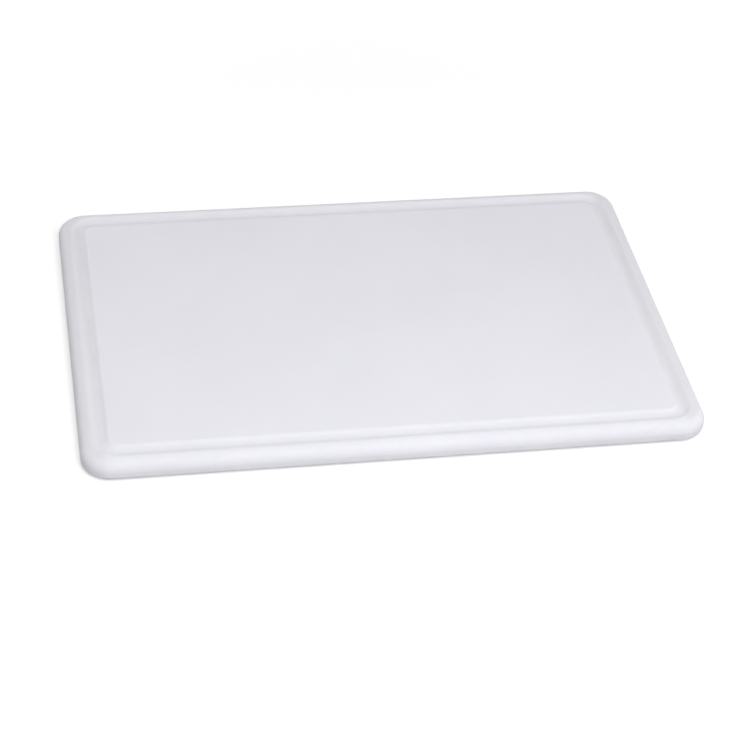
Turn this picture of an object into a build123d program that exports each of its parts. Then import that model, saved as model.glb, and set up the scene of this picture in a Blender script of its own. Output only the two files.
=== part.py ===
from build123d import *
import math
import os

# A polyethylene cutting board for a butcher's or deli counter: a thick slab with a juice groove
# milled round its upper face, standing on four rubber feet. Nothing glues to polyethylene, so each
# foot sits in a pocket in the underside and is held there by a washer and a self-tapping screw.
#
# Millimetres. +X runs along the long side, +Y from the front long side to the rear one, +Z up.
# The origin is under the middle of the board, on the plane that the feet stand on.

# Slab
BOARD_LENGTH = 600.0
BOARD_WIDTH = 400.0
BOARD_THICKNESS = 20.0
CORNER_RADIUS = 28.0  # of the four corners, seen from above
TOP_EDGE_RADIUS = 11.5
UNDERSIDE_EDGE_RADIUS = 5.0

# Juice groove, cut by a round-nosed cutter
RIM_LAND = 1.5  # from the end of the top edge's rounding to the groove's wall
GROOVE_WIDTH = 14.0  # at the upper face
GROOVE_DEPTH = 2.5
GROOVE_CORNER_RADIUS = 16.0  # of the groove's centreline, seen from above
GROOVE_LIP_RADIUS = 4.0

# Rubber feet
FOOT_INSET = 55.0  # from each of the two nearest edges of the slab to the foot's axis
FOOT_DIAMETER = 20.0
FOOT_STANDOFF = 2.0  # from the ground up to the slab's underside
FOOT_EDGE_RADIUS = 1.0
POCKET_DEPTH = 5.0  # how far the foot is let into the slab
POCKET_CLEARANCE = 0.2  # all round the foot
TREAD_RADII = (6.2, 7.4)  # centrelines of the two rings in the foot's sole
TREAD_WIDTH = 0.6
TREAD_DEPTH = 0.5

# Washers
WASHER_DIAMETER = 9.0
WASHER_BORE = 4.3
WASHER_THICKNESS = 0.8
WASHER_CLEARANCE = 0.3  # round the washer, in the foot's head recess
WASHER_SEAT = 4.2  # from the ground up to the rubber that the washer presses on

# Self-tapping pan-head screws, with their heads down
SCREW_LENGTH = 13.0  # under the head
SCREW_THREAD_DIAMETER = 3.5
SCREW_CORE_DIAMETER = 2.6
SCREW_PITCH = 1.3
SCREW_THREAD_CREST = 0.12  # width of the flat on each thread's crest
SCREW_POINT_LENGTH = 2.4
SCREW_HEAD_DIAMETER = 7.0
SCREW_HEAD_HEIGHT = 2.6
SCREW_HEAD_ROUNDING = 1.1
SCREW_PASSAGE_CLEARANCE = 0.25  # round the thread, through the rubber
DRIVE_SLOT_LENGTH = 3.6  # of each arm pair of the cross recess, tip to tip
DRIVE_SLOT_WIDTH = 0.8
DRIVE_SLOT_DEPTH = 1.5
PILOT_DIAMETER = 2.9  # between core and thread, so the thread bites
PILOT_SPARE_DEPTH = 1.0  # of pilot hole past the screw's tip
DRILL_POINT_ANGLE = 118.0

UNDERSIDE_HEIGHT = FOOT_STANDOFF
TOP_HEIGHT = UNDERSIDE_HEIGHT + BOARD_THICKNESS
POCKET_TOP = UNDERSIDE_HEIGHT + POCKET_DEPTH
HEAD_SEAT_HEIGHT = WASHER_SEAT - WASHER_THICKNESS
ON_GROUND = (Align.CENTER, Align.CENTER, Align.MIN)


def foot_places():
    """Name and centre of each foot, seen from above."""
    x = BOARD_LENGTH / 2 - FOOT_INSET
    y = BOARD_WIDTH / 2 - FOOT_INSET
    return {
        "front_left": (-x, -y),
        "front_right": (x, -y),
        "rear_left": (-x, y),
        "rear_right": (x, y),
    }


def raised(solid, height):
    """The solid, lifted to stand at that height."""
    return Pos(0, 0, height) * solid


def groove_cutter():
    """What the round-nosed cutter sweeps out along the groove's centreline."""
    nose_radius = (GROOVE_WIDTH**2 / 4 + GROOVE_DEPTH**2) / (2 * GROOVE_DEPTH)
    nose_height = TOP_HEIGHT - GROOVE_DEPTH + nose_radius
    inset = TOP_EDGE_RADIUS + RIM_LAND + GROOVE_WIDTH / 2
    loop = RectangleRounded(BOARD_LENGTH - 2 * inset, BOARD_WIDTH - 2 * inset, GROOVE_CORNER_RADIUS)
    centreline = raised(loop, nose_height).face().outer_wire()
    section = Plane(origin=centreline @ 0, z_dir=centreline % 0) * Circle(nose_radius)
    return sweep(section, path=centreline)


def foot_pocket(screw):
    """Pocket for one foot, and above it the pilot hole with the thread that the screw has formed."""
    pocket = Cylinder(FOOT_DIAMETER / 2 + POCKET_CLEARANCE, POCKET_DEPTH, align=ON_GROUND)
    pilot_radius = PILOT_DIAMETER / 2
    pilot_depth = HEAD_SEAT_HEIGHT + SCREW_LENGTH + PILOT_SPARE_DEPTH - POCKET_TOP
    pilot = Cylinder(pilot_radius, pilot_depth, align=ON_GROUND)
    point_height = pilot_radius / math.tan(math.radians(DRILL_POINT_ANGLE / 2))
    point = Cone(pilot_radius, 0, point_height, align=ON_GROUND)
    pocket = raised(pocket, UNDERSIDE_HEIGHT)
    return pocket + raised(pilot, POCKET_TOP) + raised(point, POCKET_TOP + pilot_depth) + screw


def board_slab(screw):
    """The polyethylene slab, with its groove, rounded edges and a pocket for each foot and screw."""
    outline = RectangleRounded(BOARD_LENGTH, BOARD_WIDTH, CORNER_RADIUS)
    slab = raised(extrude(outline, BOARD_THICKNESS), UNDERSIDE_HEIGHT) - groove_cutter()
    upper_faces = slab.faces().filter_by(GeomType.PLANE).group_by(Axis.Z)[-1].sort_by(SortBy.AREA)
    rim, plateau = upper_faces[0], upper_faces[-1]
    lips = plateau.outer_wire().edges() + rim.inner_wires()[0].edges()
    slab = fillet(lips, GROOVE_LIP_RADIUS)
    rim = slab.faces().filter_by(GeomType.PLANE).group_by(Axis.Z)[-1].sort_by(SortBy.AREA)[0]
    slab = fillet(rim.outer_wire().edges(), TOP_EDGE_RADIUS)
    underside = slab.faces().filter_by(GeomType.PLANE).group_by(Axis.Z)[0][0]
    slab = fillet(underside.outer_wire().edges(), UNDERSIDE_EDGE_RADIUS)
    pocket = foot_pocket(screw)
    for x, y in foot_places().values():
        slab -= Pos(x, y, 0) * pocket
    return slab


def rubber_foot():
    """One foot, standing on the ground about the Z axis, with its head recess and ringed sole."""
    foot = Cylinder(FOOT_DIAMETER / 2, POCKET_TOP, align=ON_GROUND)
    foot = fillet(foot.edges().group_by(Axis.Z)[0], FOOT_EDGE_RADIUS)
    recess_radius = WASHER_DIAMETER / 2 + WASHER_CLEARANCE
    foot -= Cylinder(recess_radius, WASHER_SEAT, align=ON_GROUND)
    passage_radius = SCREW_THREAD_DIAMETER / 2 + SCREW_PASSAGE_CLEARANCE
    foot -= Cylinder(passage_radius, POCKET_TOP, align=ON_GROUND)
    for radius in TREAD_RADII:
        ring = Circle(radius + TREAD_WIDTH / 2) - Circle(radius - TREAD_WIDTH / 2)
        foot -= extrude(ring, TREAD_DEPTH)
    return foot


def foot_washer():
    """One flat washer, against its seat in the foot."""
    ring = Circle(WASHER_DIAMETER / 2) - Circle(WASHER_BORE / 2)
    return raised(extrude(ring, WASHER_THICKNESS), HEAD_SEAT_HEIGHT)


def thread_outline():
    """Half outline of the shank from under the head to the tip, as (radius, height above the head)."""
    core = SCREW_CORE_DIAMETER / 2
    crest = SCREW_THREAD_DIAMETER / 2
    flank = (crest - core) / math.tan(math.radians(60))
    turns = int((SCREW_LENGTH - SCREW_POINT_LENGTH) / SCREW_PITCH)
    outline = [(core, 0)]
    for turn in range(turns):
        middle = (turn + 0.5) * SCREW_PITCH
        outline += [
            (core, middle - SCREW_THREAD_CREST / 2 - flank),
            (crest, middle - SCREW_THREAD_CREST / 2),
            (crest, middle + SCREW_THREAD_CREST / 2),
            (core, middle + SCREW_THREAD_CREST / 2 + flank),
        ]
    return outline + [(core, SCREW_LENGTH - SCREW_POINT_LENGTH), (0, SCREW_LENGTH)]


def foot_screw():
    """One screw about the Z axis, head down, with its threads as plain rings."""
    half = Polyline((0, 0), *thread_outline(), close=True)
    shank = revolve(Plane.XZ * make_face(half), Axis.Z)
    head = Cylinder(SCREW_HEAD_DIAMETER / 2, SCREW_HEAD_HEIGHT, align=ON_GROUND)
    head = fillet(head.edges().group_by(Axis.Z)[0], SCREW_HEAD_ROUNDING)
    for turn in (0, 90):
        head -= Rot(0, 0, turn) * Box(DRIVE_SLOT_LENGTH, DRIVE_SLOT_WIDTH, DRIVE_SLOT_DEPTH, align=ON_GROUND)
    return raised(head, HEAD_SEAT_HEIGHT - SCREW_HEAD_HEIGHT) + raised(shank, HEAD_SEAT_HEIGHT)


def write(name, solid):
    """Writes one node's STEP file."""
    solid.label = name
    export_step(solid, f"parts/{name}.step")


os.makedirs("parts", exist_ok=True)
foot, washer, screw = rubber_foot(), foot_washer(), foot_screw()
write("board_slab", board_slab(screw))
for place, (x, y) in foot_places().items():
    write(f"rubber_foot_{place}", Pos(x, y, 0) * foot)
    write(f"foot_washer_{place}", Pos(x, y, 0) * washer)
    write(f"foot_screw_{place}", Pos(x, y, 0) * screw)
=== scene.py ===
"""Looks of a polyethylene cutting board: fine meshes, finishes, soft light and a camera.

Metres, in the frame's own axes: +X along the long side, +Y from the front long side to the rear one,
+Z up, with the origin under the middle of the board, on the plane that its feet stand on.
"""

import logging
import math
from dataclasses import dataclass, field
from enum import Enum

import bmesh
import bpy
from mathutils import Matrix, Vector


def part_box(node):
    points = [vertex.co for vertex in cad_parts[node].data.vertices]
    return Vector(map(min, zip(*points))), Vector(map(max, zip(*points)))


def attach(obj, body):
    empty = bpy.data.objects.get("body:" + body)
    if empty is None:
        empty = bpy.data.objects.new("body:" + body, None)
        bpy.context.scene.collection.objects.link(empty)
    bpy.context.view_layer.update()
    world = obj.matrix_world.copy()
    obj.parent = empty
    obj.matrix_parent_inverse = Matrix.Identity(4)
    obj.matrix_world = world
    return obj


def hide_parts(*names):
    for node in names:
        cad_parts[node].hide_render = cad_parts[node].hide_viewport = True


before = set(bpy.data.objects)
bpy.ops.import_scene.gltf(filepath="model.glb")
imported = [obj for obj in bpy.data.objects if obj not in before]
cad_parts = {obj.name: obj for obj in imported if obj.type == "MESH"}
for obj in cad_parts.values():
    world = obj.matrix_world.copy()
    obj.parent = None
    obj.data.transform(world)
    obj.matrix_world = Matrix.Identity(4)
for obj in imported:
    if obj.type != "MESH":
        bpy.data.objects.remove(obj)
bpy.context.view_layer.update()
LOG = logging.getLogger("cutting_board")
MM = 0.001
FULL_TURN = 2 * math.pi
QUARTER_TURN = math.pi / 2
TOUCH = 0.01 * MM  # two heights this close are the same one
SHARP_ANGLE = 50.0  # smallest angle between two faces that makes a sharp edge, in degrees


class Slot(Enum):
    """The record's material slots."""

    POLYETHYLENE = "polyethylene"
    RUBBER = "rubber"
    STEEL = "stainless_steel"


class FootPlace(Enum):
    """Which corner of the board a foot is under, as the signs of its X and Y."""

    FRONT_LEFT = (-1, -1)
    FRONT_RIGHT = (1, -1)
    REAR_LEFT = (-1, 1)
    REAR_RIGHT = (1, 1)

    @property
    def label(self) -> str:
        """The place's name as the CAD nodes spell it."""
        return self.name.lower()


# ---------------------------------------------------------------- materials


@dataclass
class Shader:
    """A material being wired: a Principled surface, and the nodes that feed it."""

    name: str

    def __post_init__(self) -> None:
        """Makes the material with a bare Principled surface."""
        self.material = bpy.data.materials.new(self.name)
        self.material.use_nodes = True
        self.tree = self.material.node_tree
        self.surface = self.tree.nodes["Principled BSDF"]

    def node(self, kind: str, sockets: dict | None = None, **settings) -> bpy.types.Node:
        """Adds one node.

        Args:
            kind: The node's type name.
            sockets: Input sockets by name or index, each with a value or with an output to link.
            settings: Properties of the node itself.

        Returns:
            The new node.
        """
        made = self.tree.nodes.new(kind)
        for key, value in settings.items():
            setattr(made, key, value)
        self.feed(made, sockets or {})
        return made

    def feed(self, node: bpy.types.Node, sockets: dict) -> None:
        """Links outputs to a node's inputs, or sets their values.

        Args:
            node: The node whose inputs are set.
            sockets: Input sockets by name or index, each with a value or with an output to link.
        """
        for key, value in sockets.items():
            if isinstance(value, bpy.types.NodeSocket):
                self.tree.links.new(value, node.inputs[key])
            else:
                node.inputs[key].default_value = value

    def position(self, stretch: tuple[float, float, float] = (1, 1, 1),
                 turn: float = 0.0) -> bpy.types.NodeSocket:
        """The place in the piece, in metres.

        Args:
            stretch: Factor on each axis.
            turn: Angle about the vertical, in radians.

        Returns:
            A vector output.
        """
        place = self.node("ShaderNodeTexCoord").outputs["Object"]
        mapping = self.node("ShaderNodeMapping", {
            "Vector": place, "Rotation": (0, 0, turn), "Scale": stretch})
        return mapping.outputs["Vector"]

    def noise(self, size: float, detail: float = 2.0, roughness: float = 0.5,
              where: bpy.types.NodeSocket | None = None) -> bpy.types.NodeSocket:
        """Cloudy noise from 0 to 1.

        Args:
            size: Width of its largest features, in metres.
            detail: Number of finer octaves.
            roughness: How strong the finer octaves are.
            where: The vector it is read at, or None for the place in the piece.

        Returns:
            A number output.
        """
        made = self.node("ShaderNodeTexNoise", {
            "Vector": where or self.position(), "Scale": 1 / size, "Detail": detail, "Roughness": roughness})
        return made.outputs["Fac"]

    def pebble(self, size: float) -> bpy.types.NodeSocket:
        """Rounded grains from 0 in their middles to about 1 between them.

        Args:
            size: Distance between grains, in metres.

        Returns:
            A number output.
        """
        made = self.node("ShaderNodeTexVoronoi", {
            "Vector": self.position(), "Scale": 1 / size, "Smoothness": 1.0}, feature="SMOOTH_F1")
        return made.outputs["Distance"]

    def spread(self, value: bpy.types.NodeSocket, low: float, high: float,
               to_low: float = 0.0, to_high: float = 1.0) -> bpy.types.NodeSocket:
        """Maps a number's range smoothly onto another one, and holds it there.

        Args:
            value: The number.
            low: Its value that gives to_low.
            high: Its value that gives to_high.
            to_low: First end of the result.
            to_high: Other end of the result.

        Returns:
            A number output.
        """
        made = self.node("ShaderNodeMapRange", {
            "Value": value, "From Min": low, "From Max": high, "To Min": to_low, "To Max": to_high},
            interpolation_type="SMOOTHSTEP")
        return made.outputs["Result"]

    def maths(self, operation: str, *values: bpy.types.NodeSocket | float) -> bpy.types.NodeSocket:
        """One arithmetic step.

        Args:
            operation: The Math node's operation.
            values: Its operands, as numbers or outputs.

        Returns:
            A number output.
        """
        return self.node("ShaderNodeMath", dict(enumerate(values)), operation=operation).outputs["Value"]

    def blend(self, share: bpy.types.NodeSocket, first: "Colour | bpy.types.NodeSocket",
              second: "Colour | bpy.types.NodeSocket") -> bpy.types.NodeSocket:
        """Mixes two colours.

        Args:
            share: How much of the second one shows.
            first: A colour, or an output.
            second: A colour, or an output.

        Returns:
            A colour output.
        """
        ends = [end if isinstance(end, bpy.types.NodeSocket) else (*end, 1.0) for end in (first, second)]
        made = self.node("ShaderNodeMix", {0: share, 6: ends[0], 7: ends[1]}, data_type="RGBA")
        return made.outputs[2]

    def relief(self, height: bpy.types.NodeSocket, depth: float, strength: float,
               under: bpy.types.NodeSocket | None = None) -> bpy.types.NodeSocket:
        """Adds a bump layer.

        Args:
            height: The relief, from 0 to 1.
            depth: Height of that range, in metres.
            strength: Share of the relief that shows.
            under: The bump layer below it.

        Returns:
            A normal output.
        """
        sockets = {"Height": height, "Distance": depth, "Strength": strength}
        if under is not None:
            sockets["Normal"] = under
        return self.node("ShaderNodeBump", sockets).outputs["Normal"]


Colour = tuple[float, float, float]


@dataclass(frozen=True)
class Polyethylene:
    """White high-density polyethylene: waxy, a little translucent, finely pebbled, machined round its rim."""

    white: Colour = (0.747, 0.744, 0.788)
    shade: Colour = (0.735, 0.732, 0.777)
    # colour of the scuffs on the rim, also used as painted shade over the short ends' rim crest and groove
    scuffed_and_shaded: Colour = (0.685, 0.683, 0.712)
    cloud_size: float = 110.0 * MM
    flow_size: float = 18.0 * MM
    roughness: float = 0.60
    smoother: float = 0.05
    rougher: float = 0.06
    scuff_and_shade_roughness: float = 0.25
    scatter_depth: float = 4.0 * MM
    pebble_size: float = 0.75 * MM
    pebble_depth: float = 0.030 * MM
    pebbles_cut_away: float = 0.6
    ripple_size: float = 2.5 * MM
    ripple_depth: float = 0.03 * MM
    cutter_pitch: float = 0.42 * MM
    cutter_depth: float = 0.012 * MM
    cutter_fade: float = 1.5 * MM
    cutter_drift: float = 2.5
    drift_size: float = 30.0 * MM
    scratch_turns: tuple[float, ...] = (0.35, 1.9, 2.7)
    scratch_stretch: tuple[float, float, float] = (18, 2600, 900)
    scratch_depth: float = 0.006 * MM
    knock_size: float = 6.0 * MM
    knocked: float = 0.45
    # where and how strongly shade is painted over the rim crest and groove of the short ends
    end_shade_from: float = 278.0 * MM
    end_shade_to: float = 286.0 * MM
    end_shade_lead: tuple[float, float] = (7.0 * MM, 2.0 * MM)
    end_shade_ragged: float = 8.0 * MM
    end_shade: float = 0.9

    def material(self, machined: tuple[float, float], rim: tuple[float, float]) -> bpy.types.Material:
        """The slab's material.

        Args:
            machined: Where along the section the cutter's marks start and end.
            rim: Where along the section the upper rounding starts and ends.

        Returns:
            The material.
        """
        shader = Shader("white_polyethylene")
        run = shader.node("ShaderNodeAttribute", attribute_name=BoardSlab.RUN).outputs["Fac"]
        clouds = shader.noise(self.cloud_size, detail=3.0)
        flow = shader.noise(self.flow_size, detail=4.0, roughness=0.6)
        tone = shader.blend(shader.spread(clouds, 0.35, 0.68), self.shade, self.white)
        scuffs_and_shade = self.scuffs_and_end_shade(shader, run, rim)
        shader.feed(shader.surface, {
            # base colour: random clouds, greyed by the scuffs and by the painted shade on the short ends
            "Base Color": shader.blend(scuffs_and_shade, tone, self.scuffed_and_shaded),
            "Roughness": self.sheen(shader, flow, scuffs_and_shade),
            "Normal": self.texture(shader, run, machined),
            "IOR": 1.53,
            "Subsurface Weight": 0.85,
            "Subsurface Radius": (1.0, 0.96, 0.90),
            "Subsurface Scale": self.scatter_depth,
            "Subsurface Anisotropy": 0.1,
        })
        return shader.material

    def scuffs_and_end_shade(self, shader: Shader, run: bpy.types.NodeSocket,
             rim: tuple[float, float]) -> bpy.types.NodeSocket:
        """Scuffing where the rim is knocked, and greying on the short ends, which the board is lifted by.

        Args:
            shader: The material being wired.
            run: Distance along the section.
            rim: Where along the section the upper rounding starts and ends.

        Returns:
            A number output, 1 where the scuffing and the painted end shade are strongest.
        """
        middle, half = (rim[0] + rim[1]) / 2, (rim[1] - rim[0]) / 2
        off_crest = shader.maths("ABSOLUTE", shader.maths("SUBTRACT", run, middle))
        on_rim = shader.spread(off_crest, half, half * 0.2)
        patches = shader.spread(shader.noise(self.knock_size, detail=6.0, roughness=0.7), 0.52, 0.70)
        knocked = shader.maths("MULTIPLY", shader.maths("MULTIPLY", on_rim, patches), self.knocked)
        along = shader.node("ShaderNodeSeparateXYZ", {"Vector": shader.position()}).outputs["X"]
        ragged = shader.maths("MULTIPLY_ADD", shader.noise(self.drift_size), self.end_shade_ragged,
                              shader.maths("ABSOLUTE", along))
        # painted shade: greys the rim crest and groove near the short ends
        at_end = shader.spread(ragged, self.end_shade_from, self.end_shade_to)
        on_top = shader.spread(run, *(rim[1] - lead for lead in self.end_shade_lead))
        painted_end_shade = shader.maths("MULTIPLY", shader.maths("MULTIPLY", at_end, on_top), self.end_shade)
        return shader.maths("MAXIMUM", knocked, painted_end_shade)

    def sheen(self, shader: Shader, flow: bpy.types.NodeSocket,
              scuffs_and_shade: bpy.types.NodeSocket) -> bpy.types.NodeSocket:
        """Roughness, uneven as on a moulded and wiped surface.

        Args:
            shader: The material being wired.
            flow: Slow variation over the surface.
            scuffs_and_shade: Where the rim is scuffed, and where shade is painted on the short ends.

        Returns:
            A number output.
        """
        base = shader.spread(flow, 0.3, 0.7, self.roughness - self.smoother, self.roughness + self.rougher)
        return shader.maths("MULTIPLY_ADD", scuffs_and_shade, self.scuff_and_shade_roughness, base)

    def texture(self, shader: Shader, run: bpy.types.NodeSocket,
                machined: tuple[float, float]) -> bpy.types.NodeSocket:
        """Pebbled skin, the cutter's marks round the rim and groove, and hair-fine wiping scratches.

        Args:
            shader: The material being wired.
            run: Distance along the section.
            machined: Where along the section the cutter's marks start and end.

        Returns:
            A normal output.
        """
        start = shader.spread(run, machined[0], machined[0] + self.cutter_fade)
        end = shader.spread(run, machined[1], machined[1] - self.cutter_fade)
        cut = shader.maths("MULTIPLY", start, end)
        drift = shader.maths("MULTIPLY", shader.noise(self.drift_size), self.cutter_drift * self.cutter_pitch)
        turns = shader.maths("DIVIDE", shader.maths("ADD", run, drift), self.cutter_pitch / FULL_TURN)
        marks = shader.maths("MULTIPLY", shader.spread(shader.maths("SINE", turns), -1.0, 1.0), cut)
        grains = shader.pebble(self.pebble_size)
        uncut = shader.maths("SUBTRACT", 1.0, shader.maths("MULTIPLY", cut, self.pebbles_cut_away))
        skin = shader.maths("MULTIPLY", grains, uncut)
        normal = shader.relief(shader.noise(self.ripple_size, detail=3.0), self.ripple_depth, 0.5)
        normal = shader.relief(skin, self.pebble_depth, 0.8, normal)
        normal = shader.relief(marks, self.cutter_depth, 0.8, normal)
        for turn in self.scratch_turns:
            hairs = shader.noise(1.0, detail=1.0, where=shader.position(self.scratch_stretch, turn))
            normal = shader.relief(shader.spread(hairs, 0.70, 0.78), -self.scratch_depth, 0.5, normal)
        return normal


@dataclass(frozen=True)
class MouldedRubber:
    """Dark grey non-slip rubber with a matt moulded skin."""

    grey: Colour = (0.050, 0.051, 0.054)
    bloom: Colour = (0.110, 0.110, 0.112)
    roughness: float = 0.72
    dusty: float = 0.15
    dust_size: float = 4.0 * MM
    swell_size: float = 1.6 * MM
    swell_depth: float = 0.03 * MM
    skin_size: float = 0.35 * MM
    skin_depth: float = 0.02 * MM

    def material(self) -> bpy.types.Material:
        """The feet's material."""
        shader = Shader("grey_rubber")
        dust = shader.spread(shader.noise(self.dust_size, detail=5.0, roughness=0.65), 0.48, 0.72)
        fine = shader.noise(self.skin_size, detail=3.0, roughness=0.6)
        normal = shader.relief(shader.noise(self.swell_size, detail=2.0), self.swell_depth, 0.5)
        shader.feed(shader.surface, {
            "Base Color": shader.blend(dust, self.grey, self.bloom),
            "Roughness": shader.spread(dust, 0.0, 1.0, self.roughness, self.roughness + self.dusty),
            "Normal": shader.relief(fine, self.skin_depth, 0.7, normal),
            "Specular IOR Level": 0.35,
        })
        return shader.material


@dataclass(frozen=True)
class StainlessSteel:
    """Tumbled stainless steel, as cold-headed screws and stamped washers come."""

    bright: Colour = (0.66, 0.65, 0.63)
    dull: Colour = (0.47, 0.46, 0.45)
    roughness: float = 0.27
    stained: float = 0.16
    stain_size: float = 2.2 * MM
    dent_size: float = 0.25 * MM
    dent_depth: float = 0.006 * MM
    score_turn: float = 0.8
    score_stretch: tuple[float, float, float] = (400, 9000, 2500)
    score_depth: float = 0.004 * MM

    def material(self) -> bpy.types.Material:
        """The washers' and screws' material."""
        shader = Shader("tumbled_stainless_steel")
        stain = shader.spread(shader.noise(self.stain_size, detail=5.0, roughness=0.6), 0.38, 0.68)
        dents = shader.noise(self.dent_size, detail=4.0, roughness=0.7)
        scores = shader.noise(1.0, detail=1.0, where=shader.position(self.score_stretch, self.score_turn))
        normal = shader.relief(dents, self.dent_depth, 0.6)
        shader.feed(shader.surface, {
            "Base Color": shader.blend(stain, self.bright, self.dull),
            "Roughness": shader.spread(stain, 0.0, 1.0, self.roughness, self.roughness + self.stained),
            "Normal": shader.relief(shader.spread(scores, 0.62, 0.75), -self.score_depth, 0.6, normal),
            "Metallic": 1.0,
        })
        return shader.material


@dataclass(frozen=True)
class BacklitSheet:
    """Plain white opal sheet under the board, with a glow that keeps it white but lights nothing else."""

    white: Colour = (0.60, 0.60, 0.60)
    glow: float = 0.47
    far_glow: float = 1.0
    near: float = 0.42
    far: float = 1.7

    def material(self) -> bpy.types.Material:
        """The floor's material."""
        shader = Shader("backlit_opal_sheet")
        away = shader.node("ShaderNodeVectorMath", {0: shader.position()}, operation="LENGTH")
        level = shader.spread(away.outputs["Value"], self.near, self.far, self.glow, self.far_glow)
        seen = shader.node("ShaderNodeLightPath").outputs["Is Camera Ray"]
        shader.feed(shader.surface, {
            "Base Color": (*self.white, 1.0),
            "Roughness": 0.95,
            "Specular IOR Level": 0.1,
            "Emission Color": (1.0, 1.0, 1.0, 1.0),
            "Emission Strength": shader.maths("MULTIPLY", level, seen),
        })
        return shader.material


# ---------------------------------------------------------------- modelling


@dataclass
class Model:
    """One piece's mesh while it is modelled."""

    name: str
    bm: bmesh.types.BMesh = field(default_factory=bmesh.new)

    def line(self, points: list[tuple[float, float]], axis: Vector, closed: bool = False) -> list:
        """Draws a half section beside an axis.

        Args:
            points: Radius and height of each point.
            axis: Where the axis stands.
            closed: Whether the last point joins the first.

        Returns:
            The new vertices and edges.
        """
        verts = [self.bm.verts.new((axis.x + radius, axis.y, height)) for radius, height in points]
        pairs = list(zip(verts, verts[1:])) + ([(verts[-1], verts[0])] if closed else [])
        return verts + [self.bm.edges.new(pair) for pair in pairs]

    def turn(self, section: list, axis: Vector, steps: int) -> None:
        """Spins a half section all the way round an axis.

        Args:
            section: Its vertices and edges.
            axis: Where the axis stands.
            steps: Number of facets round it.
        """
        bmesh.ops.spin(self.bm, geom=section, cent=axis, axis=(0, 0, 1), angle=FULL_TURN, steps=steps,
                       use_merge=True)
        self.weld()

    def weld(self) -> None:
        """Merges vertices that lie on one another."""
        bmesh.ops.remove_doubles(self.bm, verts=self.bm.verts, dist=0.0005 * MM)

    def soften(self, width: float, segments: int) -> None:
        """Rounds the sharp edges.

        Args:
            width: Width of the rounding.
            segments: Number of facets across it.
        """
        sharp = [edge for edge in self.bm.edges
                 if edge.is_manifold and edge.calc_face_angle(0.0) > math.radians(SHARP_ANGLE)]
        bmesh.ops.bevel(self.bm, geom=sharp, offset=width, offset_type="OFFSET", segments=segments,
                        profile=0.5, affect="EDGES", clamp_overlap=True, material=-1)

    def finish(self, material: bpy.types.Material, slot: Slot, node: str) -> bpy.types.Object:
        """Makes the object, dresses it and puts it in place of its CAD node.

        Args:
            material: Its finish.
            slot: The record's material slot that the finish stands for; not used.
            node: The CAD node that it replaces.

        Returns:
            The finished object.
        """
        self.weld()
        bmesh.ops.recalc_face_normals(self.bm, faces=self.bm.faces)
        open_edges = sum(not edge.is_manifold for edge in self.bm.edges)
        mesh = bpy.data.meshes.new(self.name)
        self.bm.to_mesh(mesh)
        self.bm.free()
        mesh.polygons.foreach_set("use_smooth", [True] * len(mesh.polygons))
        mesh.set_sharp_from_angle(angle=math.radians(SHARP_ANGLE))
        mesh.materials.append(material)
        piece = bpy.data.objects.new(self.name, mesh)
        bpy.context.scene.collection.objects.link(piece)
        weighted = piece.modifiers.new("even_shading", "WEIGHTED_NORMAL")
        weighted.keep_sharp = True
        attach(piece, "root")
        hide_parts(node)
        LOG.info("%s: %d faces, %d open edges", self.name, len(mesh.polygons), open_edges)
        return piece


def quarter_arc(steps: int) -> list[float]:
    """The angles of a quarter turn in equal steps, from nothing to all of it."""
    return [QUARTER_TURN * step / steps for step in range(steps + 1)]


@dataclass(frozen=True)
class Station:
    """One place along the slab's section: a rounded rectangle that runs all round the board."""

    inset: float
    height: float
    corner: float


@dataclass
class FootSeat:
    """The pocket and pilot hole that one foot and its screw go into."""

    radius: float = 10.2 * MM
    depth: float = 5.0 * MM
    mouth_rounding: float = 0.4 * MM
    pilot_radius: float = 1.45 * MM
    pilot_end: float = 17.4 * MM
    drill_point: float = 0.87 * MM
    mouth_steps: int = 4
    steps: int = 64

    @property
    def mouth(self) -> float:
        """Radius of the pocket's mouth, with its rounding."""
        return self.radius + self.mouth_rounding

    def carve(self, model: Model, axis: Vector, underside: float) -> list[bmesh.types.BMEdge]:
        """Adds the pocket's wall and roof and the pilot hole.

        Args:
            model: The slab's mesh.
            axis: Where the foot's axis stands.
            underside: Height of the slab's underside.

        Returns:
            The edges round the pocket's mouth.
        """
        lip = [(self.mouth - self.mouth_rounding * math.sin(angle),
                underside + self.mouth_rounding * (1 - math.cos(angle)))
               for angle in quarter_arc(self.mouth_steps)]
        roof = underside + self.depth
        section = model.line([
            *lip, (self.radius, roof), (self.pilot_radius, roof), (self.pilot_radius, self.pilot_end),
            (0, self.pilot_end + self.drill_point)], axis)
        known = set(model.bm.edges) - {item for item in section if isinstance(item, bmesh.types.BMEdge)}
        model.turn(section, axis, self.steps)
        return [edge for edge in model.bm.edges if edge not in known and edge.is_boundary]


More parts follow.
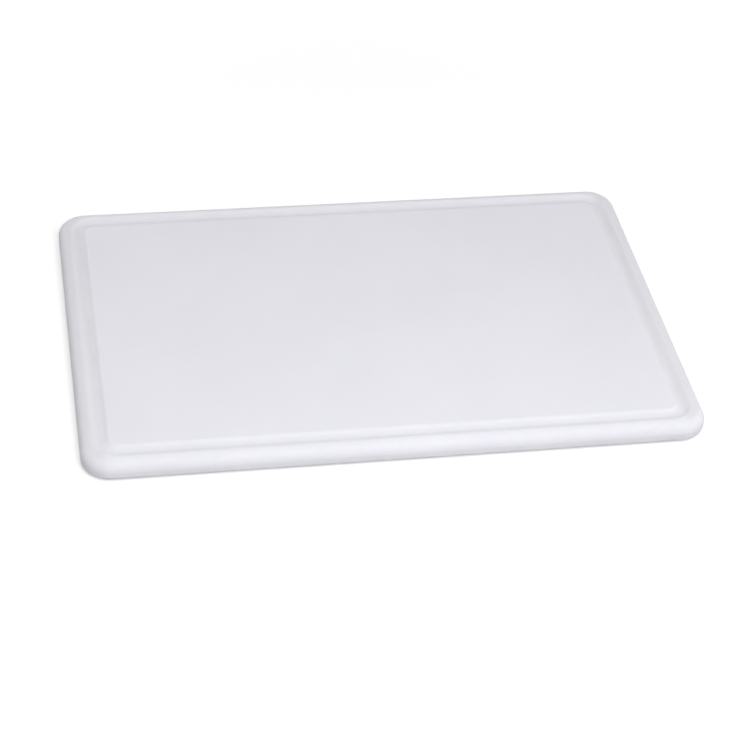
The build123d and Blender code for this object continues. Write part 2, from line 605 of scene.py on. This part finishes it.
@dataclass
class BoardSlab:
    """The polyethylene slab: one section carried all round, a flat top and an underside with four pockets."""

    RUN = "run"  # attribute: distance along the section from the underside's middle edge, in metres

    corner_radius: float = 28.0 * MM
    top_rounding: float = 11.5 * MM
    low_rounding: float = 5.0 * MM
    groove_inset: float = 20.0 * MM
    groove_width: float = 14.0 * MM
    groove_depth: float = 2.5 * MM
    groove_corner: float = 16.0 * MM
    lip_rounding: float = 4.0 * MM
    support: float = 0.6 * MM
    corner_segments: int = 22
    top_steps: int = 16
    low_steps: int = 9
    lip_steps: int = 6
    nose_steps: int = 16
    side_span: float = 26.0 * MM
    seat: FootSeat = field(default_factory=FootSeat)

    def __post_init__(self) -> None:
        """Takes the slab's length, width and heights from its CAD node."""
        low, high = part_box("board_slab")
        self.length = high.x - low.x
        self.width = high.y - low.y
        self.underside = low.z
        self.top = high.z

    def rounding(self, radius: float, height: float, start: float, end: float, steps: int) -> list[Station]:
        """Stations of one rounding of the slab's edge.

        Args:
            radius: Radius of the rounding.
            height: Height of its centre.
            start: Its first angle up from the horizontal, in radians.
            end: Its last angle.
            steps: Number of facets across it.

        Returns:
            The stations in order.
        """
        angles = [start + (end - start) * step / steps for step in range(steps + 1)]
        insets = [radius - radius * math.cos(angle) for angle in angles]
        return [Station(inset, height + radius * math.sin(angle), self.corner_radius - inset)
                for inset, angle in zip(insets, angles)]

    def groove(self) -> list[Station]:
        """Stations of the juice groove: a rounded lip, the round-nosed cutter's hollow and the other lip."""
        half = self.groove_width / 2
        nose = (half**2 + self.groove_depth**2) / (2 * self.groove_depth)
        nose_height = self.top - self.groove_depth + nose
        lip_height = self.top - self.lip_rounding
        reach = nose + self.lip_rounding
        lean = math.acos((nose_height - lip_height) / reach)
        lip_middle = reach * math.sin(lean)
        outer_lip = [lean * step / self.lip_steps for step in range(self.lip_steps + 1)]
        hollow = [lean * (2 * step / self.nose_steps - 1) for step in range(1, self.nose_steps)]
        points = [(-lip_middle + self.lip_rounding * math.sin(angle),
                   lip_height + self.lip_rounding * math.cos(angle)) for angle in outer_lip]
        points += [(nose * math.sin(angle), nose_height - nose * math.cos(angle)) for angle in hollow]
        points += [(-across, height) for across, height in reversed(points[:self.lip_steps + 1])]
        return [Station(self.groove_inset + across, height, self.groove_corner - across)
                for across, height in points]

    def stations(self) -> list[Station]:
        """All stations, from the underside out round the edge and in over the groove to the flat top."""
        low_centre = self.underside + self.low_rounding
        top_centre = self.top - self.top_rounding
        low = self.rounding(self.low_rounding, low_centre, -QUARTER_TURN, 0, self.low_steps)
        rim = self.rounding(self.top_rounding, top_centre, 0, QUARTER_TURN, self.top_steps)
        groove = self.groove()
        inner = low[0]
        under_support = Station(inner.inset + self.support, inner.height, inner.corner - self.support)
        return [under_support, *low, *rim, *groove]

    def ring(self, model: Model, station: Station, run: float) -> list[bmesh.types.BMEdge]:
        """Adds one station's loop of edges.

        Args:
            model: The slab's mesh.
            station: The station.
            run: Its distance along the section.

        Returns:
            The loop's edges.
        """
        length, width = self.length - 2 * station.inset, self.width - 2 * station.inset
        place = Matrix.Translation((0, 0, station.height)) @ Matrix.Diagonal((length, width, 1, 1))
        sheet = bmesh.ops.create_grid(model.bm, x_segments=1, y_segments=1, size=0.5, matrix=place)
        rounded = bmesh.ops.bevel(model.bm, geom=sheet["verts"], offset=station.corner, offset_type="OFFSET",
                                  segments=self.corner_segments, profile=0.5, affect="VERTICES", material=-1)
        face = rounded["verts"][0].link_faces[0]
        for edge in sorted(face.edges, key=lambda item: item.calc_length())[-4:]:
            span = self.length if abs(edge.verts[0].co.x - edge.verts[1].co.x) > self.support else self.width
            bmesh.ops.subdivide_edges(model.bm, edges=[edge], cuts=round(span / self.side_span))
        edges = list(face.edges)
        layer = model.bm.verts.layers.float[self.RUN]
        for vert in face.verts:
            vert[layer] = run
        bmesh.ops.delete(model.bm, geom=[face], context="FACES_ONLY")
        return edges

    def runs(self, stations: list[Station]) -> list[float]:
        """Distance along the section of each station."""
        runs = [0.0]
        for before, after in zip(stations, stations[1:]):
            runs.append(runs[-1] + math.hypot(after.inset - before.inset, after.height - before.height))
        return runs

    def build(self, finish: Polyethylene, feet: dict[FootPlace, Vector]) -> bpy.types.Object:
        """Models and dresses the slab.

        Args:
            finish: Its finish.
            feet: The axis of each foot.

        Returns:
            The finished object.
        """
        model = Model("polyethylene_slab")
        model.bm.verts.layers.float.new(self.RUN)
        stations = self.stations()
        runs = self.runs(stations)
        rings = [self.ring(model, station, run) for station, run in zip(stations, runs)]
        for before, after in zip(rings, rings[1:]):
            bmesh.ops.bridge_loops(model.bm, edges=before + after)
        surface = bmesh.ops.contextual_create(model.bm, geom=rings[-1])["faces"]
        bmesh.ops.inset_region(model.bm, faces=surface, thickness=self.support, use_even_offset=True)
        mouths = [edge for axis in feet.values() for edge in self.seat.carve(model, axis, self.underside)]
        border = [edge for edge in model.bm.edges if edge.is_boundary and edge not in set(mouths)]
        bmesh.ops.triangle_fill(model.bm, use_beauty=True, edges=border + mouths, normal=(0, 0, -1))
        rim_first = self.low_steps + 2
        rim = (runs[rim_first], runs[rim_first + self.top_steps])
        material = finish.material(machined=(runs[1], runs[-1]), rim=rim)
        return model.finish(material, Slot.POLYETHYLENE, "board_slab")


@dataclass
class RubberFoot:
    """One round foot with a recess for the screw's head and two rings in its sole."""

    radius: float = 10.0 * MM
    height: float = 7.0 * MM
    sole_rounding: float = 1.0 * MM
    recess_radius: float = 4.8 * MM
    recess_height: float = 4.2 * MM
    passage_radius: float = 2.0 * MM
    tread_radii: tuple[float, float] = (6.2 * MM, 7.4 * MM)
    tread_width: float = 0.6 * MM
    tread_depth: float = 0.5 * MM
    edge: float = 0.12 * MM
    edge_steps: int = 3
    sole_steps: int = 6
    steps: int = 72

    def section(self) -> list[tuple[float, float]]:
        """Half section, from the passage's top out over the foot and back along its sole and recess."""
        arc = [(self.radius - self.sole_rounding * (1 - math.cos(angle)),
                self.sole_rounding * (1 - math.sin(angle))) for angle in quarter_arc(self.sole_steps)]
        sole = []
        for middle in sorted(self.tread_radii, reverse=True):
            outer, inner = middle + self.tread_width / 2, middle - self.tread_width / 2
            sole += [(outer, 0.0), (outer, self.tread_depth), (inner, self.tread_depth), (inner, 0.0)]
        return [(self.passage_radius, self.height), (self.radius, self.height), *arc, *sole,
                (self.recess_radius, 0.0), (self.recess_radius, self.recess_height),
                (self.passage_radius, self.recess_height)]

    def build(self, place: FootPlace, axis: Vector, material: bpy.types.Material) -> bpy.types.Object:
        """Models and dresses one foot.

        Args:
            place: Which corner it is under.
            axis: Where its axis stands.
            material: Its finish.

        Returns:
            The finished object.
        """
        model = Model(f"moulded_foot_{place.label}")
        model.turn(model.line(self.section(), axis, closed=True), axis, self.steps)
        model.soften(self.edge, self.edge_steps)
        return model.finish(material, Slot.RUBBER, f"rubber_foot_{place.label}")


@dataclass
class FootWasher:
    """One stamped washer."""

    radius: float = 4.5 * MM
    bore: float = 2.15 * MM
    underside: float = 3.4 * MM
    thickness: float = 0.8 * MM
    edge: float = 0.1 * MM
    edge_steps: int = 3
    steps: int = 64

    def build(self, place: FootPlace, axis: Vector, material: bpy.types.Material) -> bpy.types.Object:
        """Models and dresses one washer.

        Args:
            place: Which corner it is under.
            axis: Where its axis stands.
            material: Its finish.

        Returns:
            The finished object.
        """
        top = self.underside + self.thickness
        corners = [(self.bore, self.underside), (self.radius, self.underside),
                   (self.radius, top), (self.bore, top)]
        model = Model(f"stamped_washer_{place.label}")
        model.turn(model.line(corners, axis, closed=True), axis, self.steps)
        model.soften(self.edge, self.edge_steps)
        return model.finish(material, Slot.STEEL, f"foot_washer_{place.label}")


@dataclass
class FootScrew:
    """One self-tapping pan-head screw, head down, with a cross recess and a helical thread."""

    head_seat: float = 3.4 * MM
    head_height: float = 2.6 * MM
    head_radius: float = 3.5 * MM
    crown_radius: float = 2.4 * MM
    crown_drop: float = 1.5 * MM
    core: float = 1.3 * MM
    crest: float = 1.75 * MM
    crest_flat: float = 0.12 * MM
    pitch: float = 1.3 * MM
    turns: int = 7
    length: float = 13.0 * MM
    arm: float = 1.8 * MM
    arm_half_width: float = 0.4 * MM
    recess_depth: float = 1.5 * MM
    recess_tiers: tuple[tuple[float, float], ...] = ((0.7, 0.72), (0.3, 0.42))  # share of depth, taper
    dome_steps: int = 9
    brim: float = 0.12 * MM
    neck: float = 0.2 * MM
    collar: float = 0.1 * MM
    point_tiers: tuple[tuple[float, float], ...] = ((0.55, 0.55), (0.9, 0.3), (1.0, 0.08))  # reach, width
    steps: int = 36

    def head(self, model: Model, axis: Vector) -> None:
        """Adds the head from its flat crown to the shank, with both ends open.

        Args:
            model: The screw's mesh.
            axis: Where the screw's axis stands.
        """
        bottom = self.head_seat - self.head_height
        fall = self.head_radius - self.crown_radius
        dome = [(self.crown_radius + fall * math.sin(angle), bottom + self.crown_drop * (1 - math.cos(angle)))
                for angle in quarter_arc(self.dome_steps)]
        section = [*dome, (self.head_radius, self.head_seat - self.brim),
                   (self.head_radius - self.brim, self.head_seat),
                   (self.core + self.brim, self.head_seat), (self.core, self.head_seat + self.brim)]
        model.turn(model.line(section, axis), axis, self.steps)

    def recess(self, model: Model, axis: Vector) -> None:
        """Closes the head's crown with a tapered cross recess.

        Args:
            model: The screw's mesh.
            axis: Where the screw's axis stands.
        """
        bottom = self.head_seat - self.head_height
        crown = [edge for edge in model.bm.edges
                 if edge.is_boundary and all(abs(vert.co.z - bottom) < TOUCH for vert in edge.verts)]
        arm = [Vector((*place, bottom)) for place in (
            (self.arm, -self.arm_half_width), (self.arm, self.arm_half_width),
            (self.arm_half_width, self.arm_half_width))]
        turned = [Matrix.Rotation(QUARTER_TURN * quarter, 4, "Z") @ point
                  for quarter in range(4) for point in arm]
        verts = [model.bm.verts.new((axis.x + point.x, axis.y + point.y, bottom)) for point in turned]
        outline = [model.bm.edges.new(pair) for pair in zip(verts, verts[1:] + verts[:1])]
        bmesh.ops.triangle_fill(model.bm, use_beauty=True, edges=crown + outline, normal=(0, 0, -1))
        for share, taper in self.recess_tiers:
            outline, verts = self.grow(model, outline)
            bmesh.ops.translate(model.bm, verts=verts, vec=(0, 0, self.recess_depth * share))
            bmesh.ops.scale(model.bm, verts=verts, vec=(taper, taper, 1), space=Matrix.Translation(-axis))
        bmesh.ops.contextual_create(model.bm, geom=outline)

    def thread(self, model: Model, axis: Vector) -> None:
        """Adds the threaded shank and its point, and joins them to the head.

        Args:
            model: The screw's mesh.
            axis: Where the screw's axis stands.
        """
        start = self.head_seat + self.neck
        flank = (self.crest - self.core) / math.tan(math.radians(60))
        foot = (self.pitch - self.crest_flat) / 2 - flank
        heights = (0, foot, foot + flank, foot + flank + self.crest_flat, self.pitch - foot, self.pitch)
        radii = (self.core, self.core, self.crest, self.crest, self.core, self.core)
        known = set(model.bm.verts)
        neck = [edge for edge in model.bm.edges if edge.is_boundary]
        section = model.line([(radius, start + height) for radius, height in zip(radii, heights)], axis)
        bmesh.ops.spin(model.bm, geom=section, cent=axis, axis=(0, 0, 1), angle=FULL_TURN * self.turns,
                       steps=self.steps * self.turns, dvec=(0, 0, self.pitch / self.steps))
        shank = [vert for vert in model.bm.verts if vert not in known]
        end = start + self.pitch * (self.turns + 1)
        for vert in shank:
            across = Vector((vert.co.x - axis.x, vert.co.y - axis.y))
            run_in, run_out = (vert.co.z - start) / self.pitch, (end - vert.co.z) / (2 * self.pitch)
            fade = max(0.0, min(1.0, run_in - 0.5, run_out - 0.25))
            radius = self.core + (across.length - self.core) * fade
            across *= radius / across.length
            vert.co.x, vert.co.y = axis.x + across.x, axis.y + across.y
        model.weld()
        loose = [edge for edge in model.bm.edges if edge.is_boundary and edge not in set(neck)]
        low = [edge for edge in loose if edge.verts[0].co.z < start + 1.5 * self.pitch]
        high = [edge for edge in loose if edge.verts[0].co.z > end - 1.5 * self.pitch]
        self.level(model, low, start - self.collar)
        self.level(model, high, end + self.collar)
        model.weld()
        rim = [edge for edge in model.bm.edges
               if edge.is_boundary and abs(edge.verts[0].co.z - end - self.collar) < TOUCH]
        for reach, width in self.point_tiers:
            rim, verts = self.grow(model, rim)
            height = end + (self.head_seat + self.length - end) * reach
            for vert in verts:
                across = Vector((vert.co.x - axis.x, vert.co.y - axis.y)).normalized() * self.core * width
                vert.co = (axis.x + across.x, axis.y + across.y, height)
        bmesh.ops.contextual_create(model.bm, geom=rim)
        ends = [edge for edge in model.bm.edges if edge.is_boundary]
        bmesh.ops.bridge_loops(model.bm, edges=ends)

    def grow(self, model: Model, edges: list[bmesh.types.BMEdge]) -> tuple[list, list]:
        """Extrudes edges in place.

        Args:
            model: The screw's mesh.
            edges: The edges.

        Returns:
            The new edges and the new vertices.
        """
        raised = bmesh.ops.extrude_edge_only(model.bm, edges=edges)["geom"]
        return ([item for item in raised if isinstance(item, bmesh.types.BMEdge)],
                [item for item in raised if isinstance(item, bmesh.types.BMVert)])

    def level(self, model: Model, edges: list[bmesh.types.BMEdge], height: float) -> None:
        """Extrudes the thread's slanting end to a level ring.

        Args:
            model: The screw's mesh.
            edges: The slanting end's edges.
            height: The ring's height.
        """
        for vert in self.grow(model, edges)[1]:
            vert.co.z = height

    def build(self, place: FootPlace, axis: Vector, material: bpy.types.Material) -> bpy.types.Object:
        """Models and dresses one screw.

        Args:
            place: Which corner it is under.
            axis: Where its axis stands.
            material: Its finish.

        Returns:
            The finished object.
        """
        model = Model(f"pan_head_screw_{place.label}")
        self.head(model, axis)
        self.recess(model, axis)
        self.thread(model, axis)
        return model.finish(material, Slot.STEEL, f"foot_screw_{place.label}")


# ---------------------------------------------------------------- studio


@dataclass
class OpalFloor:
    """A round opal sheet under the board."""

    radius: float = 7.0
    steps: int = 96

    def build(self, finish: BacklitSheet) -> None:
        """Lays the floor.

        Args:
            finish: Its finish.
        """
        bm = bmesh.new()
        bmesh.ops.create_circle(bm, cap_ends=True, radius=self.radius, segments=self.steps)
        mesh = bpy.data.meshes.new("opal_floor")
        bm.to_mesh(mesh)
        bm.free()
        mesh.materials.append(finish.material())
        floor = bpy.data.objects.new("opal_floor", mesh)
        bpy.context.scene.collection.objects.link(floor)


@dataclass(frozen=True)
class Softbox:
    """A square diffused lamp that faces the board."""

    name: str
    azimuth: float
    elevation: float
    power: float
    distance: float = 1.7
    size: float = 1.0

    def build(self) -> None:
        """Hangs the lamp."""
        lamp = bpy.data.lights.new(self.name, "AREA")
        lamp.size = self.size
        lamp.energy = self.power
        holder = bpy.data.objects.new(self.name, lamp)
        bpy.context.scene.collection.objects.link(holder)
        away = direction(self.azimuth, self.elevation)
        holder.location = away * self.distance
        holder.rotation_euler = (-away).to_track_quat("-Z", "Y").to_euler()
        holder.visible_camera = False


@dataclass(frozen=True)
class Daylight:
    """Even white light from all round, seen as a white backdrop."""

    strength: float = 0.167
    backdrop: float = 1.0

    def build(self) -> None:
        """Makes the world."""
        world = bpy.data.worlds.new("white_surroundings")
        world.use_nodes = True
        tree = world.node_tree
        background = tree.nodes["Background"]
        seen = tree.nodes.new("ShaderNodeLightPath").outputs["Is Camera Ray"]
        level = tree.nodes.new("ShaderNodeMapRange")
        tree.links.new(seen, level.inputs["Value"])
        level.inputs["To Min"].default_value = self.strength
        level.inputs["To Max"].default_value = self.backdrop
        background.inputs["Color"].default_value = (1, 1, 1, 1)
        tree.links.new(level.outputs["Result"], background.inputs["Strength"])
        bpy.context.scene.world = world


@dataclass(frozen=True)
class StudioCamera:
    """The camera, above the front long side and a little to the left."""

    azimuth: float = -12.605
    elevation: float = 39.496
    roll: float = 4.571
    distance: float = 2.1002
    target: tuple[float, float, float] = (-0.00718, -0.06474, 0.0)
    lens: float = 102.93
    sensor: float = 36.0

    def build(self) -> None:
        """Sets the camera up and makes it the scene's own."""
        camera = bpy.data.cameras.new("studio_camera")
        camera.lens = self.lens
        camera.sensor_width = self.sensor
        back = direction(self.azimuth, self.elevation)
        side = Vector((0, 0, 1)).cross(back).normalized()
        up = back.cross(side)
        lean = math.radians(self.roll)
        right = math.cos(lean) * side + math.sin(lean) * up
        over = math.cos(lean) * up - math.sin(lean) * side
        stand = Matrix((right, over, back)).transposed().to_4x4()
        stand.translation = Vector(self.target) + back * self.distance
        holder = bpy.data.objects.new("studio_camera", camera)
        bpy.context.scene.collection.objects.link(holder)
        holder.matrix_world = stand
        bpy.context.scene.camera = holder


def direction(azimuth: float, elevation: float) -> Vector:
    """Unit vector from the board towards a place in the studio.

    Args:
        azimuth: Angle from the front, towards the right, in degrees.
        elevation: Angle above the floor, in degrees.

    Returns:
        The vector.
    """
    around, above = math.radians(azimuth), math.radians(elevation)
    return Vector((math.sin(around) * math.cos(above), -math.cos(around) * math.cos(above), math.sin(above)))


SOFTBOXES = (
    Softbox("front_softbox", azimuth=0, elevation=50, power=24.9),
    Softbox("front_right_softbox", azimuth=60, elevation=50, power=0.95),
    Softbox("high_rear_softbox", azimuth=180, elevation=50, power=3.7),
    Softbox("right_softbox", azimuth=90, elevation=20, power=7.0),
    Softbox("rear_left_softbox", azimuth=-120, elevation=20, power=5.4),
    Softbox("rear_softbox", azimuth=180, elevation=20, power=1.9),
)


def foot_axes() -> dict[FootPlace, Vector]:
    """The axis of each foot, from the middle of its CAD node."""
    axes = {}
    for place in FootPlace:
        low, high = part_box(f"rubber_foot_{place.label}")
        axes[place] = Vector(((low.x + high.x) / 2, (low.y + high.y) / 2, 0.0))
    return axes


def build_studio() -> None:
    """Lays the floor, hangs the lamps and sets up the camera."""
    OpalFloor().build(BacklitSheet())
    Daylight().build()
    for softbox in SOFTBOXES:
        softbox.build()
    StudioCamera().build()
    bpy.context.scene.view_settings.view_transform = "Standard"


def main() -> None:
    """Builds the board and then the studio round it."""
    logging.basicConfig(level=logging.INFO, format="%(name)s: %(message)s")
    feet = foot_axes()
    BoardSlab().build(Polyethylene(), feet)
    rubber, steel = MouldedRubber().material(), StainlessSteel().material()
    for place, axis in feet.items():
        RubberFoot().build(place, axis, rubber)
        FootWasher().build(place, axis, steel)
        FootScrew().build(place, axis, steel)
    build_studio()


if __name__ == "__main__":
    main()
